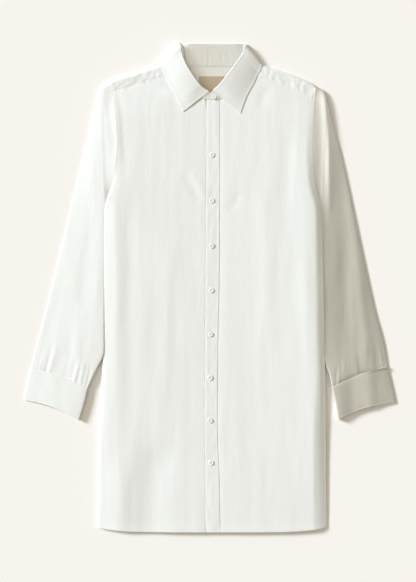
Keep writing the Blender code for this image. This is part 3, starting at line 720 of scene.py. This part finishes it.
leaf_stations = [lying(leaf) for leaf in LEAF_RIGHT]
leaf_stations += turn_stations(LEAF_TURNS[-1], -1, LEAF_RADII, 0.0, LEAF_BACK)
for x in (-40.0, 5.0, 52.0):
    leaf_stations.append([x, LEAF_BACK, 4.2, x * 1.2, 437.0, 0.0, 0.0, 0.0, -1.0])
leaf_stations += turn_stations(LEAF_TURNS[1], 1, LEAF_RADII, 0.0, LEAF_BACK)[::-1]
leaf_stations += [lying(leaf) for leaf in reversed(LEAF_LEFT)]
LEAF_RING = ring_of(leaf_stations)
ROLL_SHARE = 0.1               # share of the leaf that curls in over the top of the stand
ROLL_CURL = 1.5                # radius of that curl


def leaf_point(u, v):
    s = between(LEAF_RING, "t", u)
    roll = Vector((s.roll_x, s.roll_y, s.roll_z))
    out = Vector((s.out_x, s.out_y, s.out_z))
    up = Vector((s.up_x, s.up_y, s.up_z)).normalized()
    way = (out - roll).normalized()
    if v < ROLL_SHARE:
        a = 0.5 * pi * (1.0 - v / ROLL_SHARE)
        return roll + way * (ROLL_CURL - ROLL_CURL * sin(a)) - up * (ROLL_CURL - ROLL_CURL * cos(a))
    f = (v - ROLL_SHARE) / (1.0 - ROLL_SHARE)
    length = (out - roll).length
    point = roll + way * (ROLL_CURL + (length - ROLL_CURL) * f)
    from_end = min(u, 1.0 - u) * LEAF_LENGTH
    crown = 1.3 * sin(pi * min(f * 1.15, 1.0)) * soft(f / 0.2) * soft(from_end / 25.0)
    edge_in = min(length * (1.0 - f), from_end)
    groove = 0.2 * exp(-((edge_in - LEAF_STITCH) / 1.1) ** 2)
    wave = 0.5 * noise.noise(Vector((point.x / 26.0, point.y / 26.0, 11.0 + up.z)))
    free = soft(0.5 + up.z)
    return point + up * ((crown * 0.6 + wave * soft(f / 0.3) * 0.6) * free - groove)


collar = cloth("collar_leaf", 230, 30, (430, 68), leaf_point, thick=COLLAR_CLOTH)
fit(collar, COTTON, "shirting", "collar")

StandEnd = namedtuple("StandEnd", "roll_x roll_y neck_x neck_y rise under")
STAND_RIGHT = [
    StandEnd(15, 381.5, 15, 367.6, 0.7, 0), StandEnd(-2, 382, -8, 367.4, 0.8, 0),
    StandEnd(-19.5, 397, -44.6, 385.2, 5.0, 0), StandEnd(-39, 424, -67.6, 402.3, 7.4, 0),
    StandEnd(-48.5, 442, -83.6, 416.3, 7.2, 0),
]
STAND_LEFT = [
    StandEnd(-5, 380, -5, 367.6, 1.2, 1), StandEnd(7, 384, 19.6, 367.4, 1.8, 1),
    StandEnd(20.5, 399, 49.6, 384.3, 5.0, 0.3), StandEnd(40, 423, 75.6, 401.4, 7.0, 0),
    StandEnd(59.5, 450, 93.6, 413.4, 6.6, 0),
]


def standing(end):
    """A station of the stand where it lies on the front, lower at the end that goes under."""
    roll_z = front_height(end.roll_x, end.roll_y) + end.rise - UNDERLAP_DIP * end.under
    neck_z = front_height(end.neck_x, end.neck_y) + 0.6 - UNDERLAP_DIP * end.under
    return [end.roll_x, end.roll_y, roll_z + 0.5, end.neck_x, end.neck_y, neck_z, 0.0, 0.0, 1.0]


stand_stations = [standing(end) for end in STAND_RIGHT]
stand_stations += turn_stations(STAND_TURNS[-1], -1, STAND_RADII, STAND_CLEARANCE, BACK_ROLL)
for x in (-40.0, 5.0, 50.0):
    stand_stations.append([x, BACK_ROLL, 6.4, x * 1.25, BACK_NECK - 1.0, 1.8, 0.0, 0.0, -1.0])
stand_stations += turn_stations(STAND_TURNS[1], 1, STAND_RADII, STAND_CLEARANCE, BACK_ROLL)[::-1]
stand_stations += [standing(end) for end in reversed(STAND_LEFT)]
STAND_RING = ring_of(stand_stations)


def stand_point(u, v):
    s = between(STAND_RING, "t", u)
    roll = Vector((s.roll_x, s.roll_y, s.roll_z))
    out = Vector((s.out_x, s.out_y, s.out_z))
    up = Vector((s.up_x, s.up_y, s.up_z)).normalized()
    ripple = 0.5 * noise.noise(Vector((roll.x / 5.0, v * 0.9, 21.0))) * soft(v * 4.0)
    return roll.lerp(out, v) + up * ripple * max(-up.z, 0.0)


stand = cloth("collar_stand_band", 200, 14, (400, 38), stand_point)
fit(stand, COTTON, "shirting", "collar_stand")

bm = bmesh.new()
path = []
for k in range(150):
    u = mix(*LEAF_STITCHED, k / 149.0)
    s = between(LEAF_RING, "t", u)
    if s.up_z > 0.2:
        across = Vector((s.out_x - s.roll_x, s.out_y - s.roll_y, s.out_z - s.roll_z))
        path.append(leaf_point(u, 1.0 - LEAF_STITCH / across.length))
    elif path:
        stitch_row(bm, path)
        path = []
stitch_row(bm, path)
for u in LEAF_STITCHED:
    stitch_row(bm, [leaf_point(u, 0.14 + 0.79 * k / 16.0) for k in range(17)])
collar_stitches = thread_piece("collar_stitches", bm, THREAD, "shirting")


# ================================================================ sleeves
# Each sleeve is one piece of the cotton closed into a tube and pressed flat, set into its
# armhole at the top and gathered a little into its cuff. The right one faces up whole; both
# narrow to the body's side, where their inner crease lies.
# A ring of a flat tube: its share of the length, its outer and inner crease, how much of the
# armhole's curve it takes, how far its middle bows up the arm, and its upper layer's height
# beside each crease.
Ring = namedtuple("Ring", "v out_x out_y in_x in_y curve bow rise_out rise_in")
SLEEVE_RIGHT = [
    Ring(0, -190.8, 405, -202.8, 170, 1, 0, 6.4, 6.4),
    Ring(0.04, -208, 394, -208.2, 154, 0.35, 0, 8.2, 9.6),
    Ring(0.12, -222, 352, -208.6, 122, 0.1, 0, 7.4, 10.2),
    Ring(0.22, -237, 294, -208.9, 75, 0, 0, 6.0, 10.4), Ring(0.34, -254, 225, -209.4, 20, 0, 0, 4.6, 10.6),
    Ring(0.5, -277, 130, -209.8, -45, 0, 0, 4.0, 11), Ring(0.66, -300, 35, -210, -95, 0, 0, 4.0, 11.4),
    Ring(0.8, -319, -42, -210.8, -136, 0, 1, 3.8, 11.4), Ring(0.93, -337, -112, -222, -162, 0, 3, 3.6, 10.8),
    Ring(1, -349.5, -160.5, -238, -195.6, 0, 4, 3.6, 10.4),
]
SLEEVE_LEFT = [
    Ring(0, 206.8, 394, 212.0, 170, 1, 0, 6.2, 6.2),
    Ring(0.04, 223, 384, 217.8, 154, 0.35, 0, 9.6, 10.6),
    Ring(0.12, 233, 352, 219.3, 122, 0.1, 0, 9, 11.4),
    Ring(0.22, 244, 306, 220.6, 75, 0, 0, 7.6, 11.4), Ring(0.34, 261, 240, 221.8, 20, 0, 0, 6.2, 11.4),
    Ring(0.5, 285, 130, 222.8, -40, 0, 0, 4.8, 11), Ring(0.66, 305, 36, 223.8, -90, 0, 0, 4.6, 11),
    Ring(0.8, 323, -45, 225.6, -145, 0, 1, 4.6, 11.4), Ring(0.93, 340, -108, 233.6, -171, 0, 3, 4.6, 12),
    Ring(1, 348, -157, 238.2, -193, 0, 4, 4.6, 12.6),
]
SLEEVE_FOLDS_RIGHT = [
    Fold(6, -0.9, [(-192, 396), (-195, 366), (-194.5, 337), (-190, 312), (-186, 270), (-187, 240)]),
    Fold(14, -0.7, [(-236, 120), (-242, 40), (-250, -60)]),
    Fold(13, -0.7, [(-268, -90), (-284, -180), (-290, -230)]),
    Fold(11, 0.6, [(-252, -70), (-262, -150), (-268, -220)]),
    Fold(12, -0.5, [(-300, -10), (-316, -90), (-328, -170)]),
]
SLEEVE_FOLDS_LEFT = [
    Fold(7, 3.5, [(219, 396), (225, 376), (229, 352), (232, 322), (234, 270), (233, 190), (231, 90)]),
    Fold(9, -0.8, [(208, 390), (213, 366), (215, 330), (216, 280), (218, 230), (220, 190)]),
    Fold(16, -1.4, [(250, 300), (262, 210), (266, 54), (264, -100), (266, -210)]),
    Fold(11, 1.5, [(262, 270), (276, 205), (294, 54), (306, -100), (311, -215)]),
    Fold(8, 0.6, [(262, -60), (266, -130), (262, -200)]),
    Fold(6, -0.7, [(300, -120), (306, -160), (302, -200)]),
    Fold(6, -0.6, [(326, -120), (330, -160)]),
]
CREASE = 2.2                   # half the height of a sleeve at its pressed creases
SET_IN_GAP = 0.5
TUCK = 4.5                     # the upper layer runs in under the body's side by this much
TIP = {-1: (-191.0, 405.0), 1: (207.0, 394.0)}
UNDERARM_Y = 170.0
TUCK_END_Y = -150.0            # below this the sleeve lies free of the body


def body_side(y, side):
    s = body_at(y)
    return s.side_r if side < 0 else s.side_l


def armhole_bend(share, side):
    """How far the armhole's curve stands inside the straight line between its two ends."""
    x0, y0 = TIP[side]
    x1 = body_side(UNDERARM_Y, side)
    return body_side(mix(y0, UNDERARM_Y, share), side) - mix(x0, x1, share)


def tube_point(u, v, side, rings, folds, closing):
    """A point of a flattened tube: along its upper layer for u < 0.5, back underneath after."""
    ring = between(rings, "v", v)
    a = 2.0 * pi * u
    share = 0.5 * (1.0 - cos(a))
    start, end = Vector((ring.out_x, ring.out_y)), Vector((ring.in_x, ring.in_y))
    chord = end - start
    bow_way = Vector((-chord.y, chord.x)).normalized() * -side
    p = start + chord * share + bow_way * (ring.bow * sin(pi * share))
    p.x += armhole_bend(share, side) * ring.curve
    upper = sin(a) >= 0.0
    if p.y > TUCK_END_Y:
        tuck = TUCK * soft((share - 0.8) / 0.18) * soft((p.y - TUCK_END_Y) / 30.0)
        tuck *= 1.0 if u <= 0.505 else 0.0
        limit = body_side(p.y, side) + side * (SET_IN_GAP * soft(v / 0.02) - tuck)
        p.x = side * max(side * (p.x - side * tuck), side * limit)
    swell = abs(sin(a)) ** mix(mix(0.3, 0.8, soft(v / 0.25)), 0.12, soft(1.2 * share))
    if not upper:
        return p.x, p.y, CREASE * (1.0 - abs(sin(a)) ** 0.45)
    top = mix(ring.rise_out, ring.rise_in, share)
    at_hole = 1.0 - soft(v / 0.05)
    if at_hole > 0.0:
        y = min(p.y, SECTIONS[-1].y)
        top = mix(top, front_height(body_side(y, side), y) - 0.25, at_hole)
        swell = mix(swell, 1.0, at_hole * soft(share / 0.04))
    within = abs(sin(a)) ** 0.8
    top += within * (fold_lift(p.x, p.y, folds) + 0.5 * uneven(p.x, p.y, 90.0, 30.0 + side))
    ruffle = soft((v - 0.88) / 0.1) * closing
    along_chord = share * chord.length
    top += ruffle * within * 1.5 * noise.noise(Vector((along_chord / 6.5, v * 6.0, 40.0 + side)))
    top -= 1.9 * exp(-((1.0 - v) / 0.009) ** 2) * closing * within
    return p.x, p.y, CREASE + (top - CREASE) * swell


for side, rings, folds, name in (
        (-1, SLEEVE_RIGHT, SLEEVE_FOLDS_RIGHT, "right_sleeve"),
        (1, SLEEVE_LEFT, SLEEVE_FOLDS_LEFT, "left_sleeve")):
    sleeve = cloth(
        name, 112, 136, (300, 580),
        lambda u, v: tube_point(u, v, side, rings, folds, 1.0), tube=True)
    fit(sleeve, COTTON, "shirting", "sleeve_right" if side < 0 else "sleeve_left")


# ================================================================ cuffs
# A cuff is a folded band of the cotton with a stiffening, sewn over the gathered end of the
# sleeve and edge-stitched along both sides. It lies closed as a flat tube.
CUFF_RIGHT = [
    Ring(0, -348.6, -157.6, -237, -192.6, 0, 4, 4.0, 10.6),
    Ring(0.45, -357, -189, -245, -226, 0, 5, 3.8, 10.8),
    Ring(1, -363.4, -219, -255, -258.5, 0, 6.5, 3.8, 10.4),
]
CUFF_LEFT = [
    Ring(0, 347.1, -154.1, 237.2, -191.1, 0, 4, 5.2, 12.8),
    Ring(0.45, 356, -190, 245, -225, 0, 5, 5.0, 12.6),
    Ring(1, 363.4, -224, 250.3, -256.5, 0, 6.5, 4.8, 11.6),
]
CUFF_FOLDS_RIGHT = [Fold(12, 0.5, [(-300, -120), (-312, -300)])]
CUFF_FOLDS_LEFT = [
    Fold(12, 1.4, [(308, -120), (318, -300)]),
    Fold(16, -1.2, [(272, -120), (278, -300)]),
]
CUFF_STITCH = 0.075            # share of its height between edge and stitching


def cuff_point(u, v, side, rings, folds):
    x, y, z = tube_point(u, v, side, rings, folds, 0.0)
    if u < 0.5:
        within = abs(sin(2.0 * pi * u)) ** 0.8
        for line in (CUFF_STITCH, 1.0 - CUFF_STITCH):
            z -= 0.4 * within * exp(-((v - line) / 0.016) ** 2)
    return x, y, z


for side, rings, folds, name in (
        (-1, CUFF_RIGHT, CUFF_FOLDS_RIGHT, "right_cuff"),
        (1, CUFF_LEFT, CUFF_FOLDS_LEFT, "left_cuff")):
    cuff = cloth(
        name, 96, 44, (236, 68),
        lambda u, v: cuff_point(u, v, side, rings, folds), tube=True, thick=COLLAR_CLOTH)
    fit(cuff, COTTON, "shirting", "cuff_right" if side < 0 else "cuff_left")
    bm = bmesh.new()
    for line in (CUFF_STITCH, 1.0 - CUFF_STITCH):
        us = [0.04 + 0.42 * k / 40.0 for k in range(41)]
        stitch_row(bm, [cuff_point(u, line, side, rings, folds) for u in us])
    rows = thread_piece(name + "_stitches", bm, THREAD, "shirting")


# ================================================================ hem stitching
# One row of machine stitches in white thread that holds the turned-up hem. It runs across both
# fronts and stops where the left one passes under the button band.
bm = bmesh.new()
hem_share = HEM_BAND / (FRONT_SPLIT_Y - SECTIONS[0].y) * FRONT_SPLIT
for front_point, first, last in (
        (right_front_point, 0.02, 0.985), (left_front_point, 0.14, 0.98)):
    stitch_row(bm, [front_point(mix(first, last, k / 50.0), hem_share) for k in range(51)])
thread_piece("hem_stitches", bm, THREAD, "shirting")


# ================================================================ buttons
# Small shirt buttons with a pearly shine: a raised rim round a shallow dish with four holes, each sewn on
# with a crossed thread.
# The holes are not cut: each is a flat grey disc laid on the dish, painted shade.
BUTTON_RADIUS = 5.0
STAND_BUTTON_RADIUS = 4.5
BUTTON_THICKNESS = 1.7
STAND_BUTTON_AT = (8.5, 371.5)


def pearl(name):
    """Cast resin like mother of pearl: pale, with slow clouds and a clear shine."""
    material = bpy.data.materials.new(name)
    material.use_nodes = True
    tree = material.node_tree
    shader = tree.nodes["Principled BSDF"]
    place = Value(tree, tree.nodes.new("ShaderNodeTexCoord").outputs["Object"])
    cloud = place.node("ShaderNodeTexNoise", {
        "Vector": place, "Scale": 260.0, "Detail": 3.0, "Distortion": 1.2})
    low, high = (0.78, 0.78, 0.75), (0.90, 0.91, 0.90)
    tree.links.new(cloud.blend(low, high).socket, shader.inputs["Base Color"])
    tree.links.new((0.16 + 0.16 * cloud).socket, shader.inputs["Roughness"])
    shader.inputs["Coat Weight"].default_value = 0.6
    shader.inputs["Coat Roughness"].default_value = 0.12
    shader.inputs["Sheen Weight"].default_value = 0.1
    return material


PEARL = pearl("pearl_resin")
# Grey for the button holes: painted shade where the holes would look dark.
HOLE_SHADE = thread_material("button_hole_shade", (0.44, 0.43, 0.40), (0.52, 0.51, 0.48))
Profile = namedtuple("Profile", "r z")
BUTTON_PROFILE = [
    Profile(0.0, 0.0), Profile(0.72, 0.0), Profile(0.93, 0.16), Profile(1.0, 0.45),
    Profile(0.985, 0.75), Profile(0.93, 0.94), Profile(0.85, 1.0), Profile(0.76, 0.98),
    Profile(0.66, 0.9), Profile(0.56, 0.85), Profile(0.0, 0.84),
]


def button(name, node, x, y, z, radius):
    bm = bmesh.new()
    verts = [bm.verts.new((p.r * radius, 0.0, p.z * BUTTON_THICKNESS)) for p in BUTTON_PROFILE]
    edges = [bm.edges.new(pair) for pair in zip(verts, verts[1:])]
    bmesh.ops.spin(bm, geom=verts + edges, axis=(0, 0, 1), cent=(0, 0, 0), steps=48,
                   angle=2.0 * pi, use_merge=True)
    bmesh.ops.remove_doubles(bm, verts=bm.verts[:], dist=0.001)
    bmesh.ops.recalc_face_normals(bm, faces=bm.faces[:])
    bmesh.ops.translate(bm, vec=(x, y, z), verts=bm.verts[:])
    made = thread_piece(name, bm, PEARL, "shirt_button")
    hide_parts(node)
    top = z + BUTTON_PROFILE[-1].z * BUTTON_THICKNESS
    reach = 0.24 * radius
    # The four holes: flat grey discs just above the dish, painted shade rather than openings.
    bm = bmesh.new()
    for sx in (-1, 1):
        for sy in (-1, 1):
            bmesh.ops.create_circle(
                bm, cap_ends=True, segments=14, radius=0.13 * radius,
                matrix=Matrix.Translation((x + sx * reach, y + sy * reach, top + 0.03)))
    thread_piece(name + "_holes", bm, HOLE_SHADE, "shirt_button")
    bm = bmesh.new()
    for turn in (1, -1):
        for slip in (-0.22, 0.22):
            a = (x - reach + slip, y - turn * reach - turn * slip, top)
            b = (x + reach + slip, y + turn * reach - turn * slip, top)
            stitch_row(bm, [a, b], length=2.0 * reach * 1.3, gap=0.1, width=0.4, lift=0.2)
    thread_piece(name + "_thread", bm, THREAD, "shirting")


for number, (x, y) in enumerate(button_places(), start=1):
    button(f"button_{number}_pearl", f"button_{number}", x, y, band_height(x, y) + 0.3,
           BUTTON_RADIUS)
button("stand_button_pearl", "button_stand", *STAND_BUTTON_AT,
       front_height(*STAND_BUTTON_AT) + 1.8, STAND_BUTTON_RADIUS)


# ================================================================ studio
# A pale matt table, one low soft key from the upper left and a warm even fill. The key and the overhead fill
# leave out the left sleeve and its cuff, which a grazing light and two small pools of light reach instead.
# The inside of the neck has a key and a fill of its own, weaker than the main key.
table_top = bpy.data.meshes.new("table")
bm = bmesh.new()
bmesh.ops.create_grid(bm, x_segments=8, y_segments=8, size=4.0)
bmesh.ops.translate(bm, vec=(0.0, 0.0, -0.0004), verts=bm.verts[:])
bm.to_mesh(table_top)
bm.free()
table = bpy.data.objects.new("table", table_top)
bpy.context.scene.collection.objects.link(table)
paper = bpy.data.materials.new("cream_paper")
paper.use_nodes = True
shader = paper.node_tree.nodes["Principled BSDF"]
shader.inputs["Base Color"].default_value = (0.93, 0.88, 0.878, 1.0)
shader.inputs["Roughness"].default_value = 0.95
shader.inputs["Specular IOR Level"].default_value = 0.1
table_top.materials.append(paper)

world = bpy.data.worlds.new("fill")
world.use_nodes = True
sky = world.node_tree.nodes["Background"]
sky.inputs["Color"].default_value = (0.290, 0.272, 0.190, 1.0)
sky.inputs["Strength"].default_value = 1.0
bpy.context.scene.world = world


def sun(name, energy, colour, rise, round_to, spread):
    """A distant soft light: its height above the table and its turn from the left, in degrees."""
    data = bpy.data.lights.new(name, "SUN")
    data.energy = energy
    data.color = colour
    data.angle = radians(spread)
    lamp = bpy.data.objects.new(name, data)
    bpy.context.scene.collection.objects.link(lamp)
    h, r = radians(rise), radians(round_to)
    toward = Vector((-cos(h) * cos(r), cos(h) * sin(r), sin(h)))
    lamp.rotation_euler = toward.to_track_quat("Z", "Y").to_euler()
    return lamp


above = sun("overhead_fill", 0.726, (1.0, 1.0, 0.93), 72, 25, 60)
KEY_COLOUR = (0.855, 0.93, 1.0)
key = sun("key", 4.26, KEY_COLOUR, 25, 25, 15)
graze = sun("graze", 3.2, (1.0, 0.985, 0.91), 15, 12, 14)
neck_key = sun("neck_key", 1.75, (0.82, 0.92, 1.0), 21, 25, 14)
neck_fill = sun("neck_fill", 0.75, (1.0, 0.95, 0.82), 60, 40, 70)


def glow(name, energy, colour, place):
    """A small soft pool of light."""
    data = bpy.data.lights.new(name, "POINT")
    data.energy = energy
    data.color = colour
    data.shadow_soft_size = 0.08
    lamp = bpy.data.objects.new(name, data)
    lamp.location = place
    bpy.context.scene.collection.objects.link(lamp)
    return lamp


shoulder_glow = glow("shoulder_glow", 1.45, (0.95, 0.99, 0.96), (0.15, 0.36, 0.32))
cuff_glow = glow("cuff_glow", 0.14, (0.90, 0.98, 1.0), (0.39, -0.23, 0.17))
IN_SHADE = ("left_sleeve", "left_cuff", "left_cuff_stitches")
IN_NECK = ("yoke_lining", "label", "collar_stand_band")
for lamp, names, state in (
        (above, IN_SHADE, "EXCLUDE"), (graze, IN_SHADE, "INCLUDE"),
        (shoulder_glow, IN_SHADE, "INCLUDE"), (cuff_glow, IN_SHADE, "INCLUDE"),
        (key, IN_SHADE + IN_NECK, "EXCLUDE"),
        (neck_key, IN_NECK, "INCLUDE"), (neck_fill, IN_NECK, "INCLUDE")):
    reach = bpy.data.collections.new(lamp.name + "_reach")
    for name in names:
        reach.objects.link(bpy.data.objects[name])
    for entry in reach.collection_objects:
        entry.light_linking.link_state = state
    lamp.light_linking.receiver_collection = reach

eye = bpy.data.cameras.new("overhead")
eye.sensor_fit = "VERTICAL"
eye.sensor_height = 24.0
EYE_HEIGHT = 3.0               # in metres, as the other camera values are
CLOTH_HEIGHT = 0.008           # about halfway up the laid dress
VIEW_HEIGHT = 1.1349           # what the view takes in at that height, from top to bottom
eye.lens = eye.sensor_height * (EYE_HEIGHT - CLOTH_HEIGHT) / VIEW_HEIGHT
camera = bpy.data.objects.new("overhead", eye)
camera.location = (-0.0034, -0.0063, EYE_HEIGHT)
bpy.context.scene.collection.objects.link(camera)
bpy.context.scene.camera = camera
bpy.context.scene.view_settings.view_transform = "Standard"
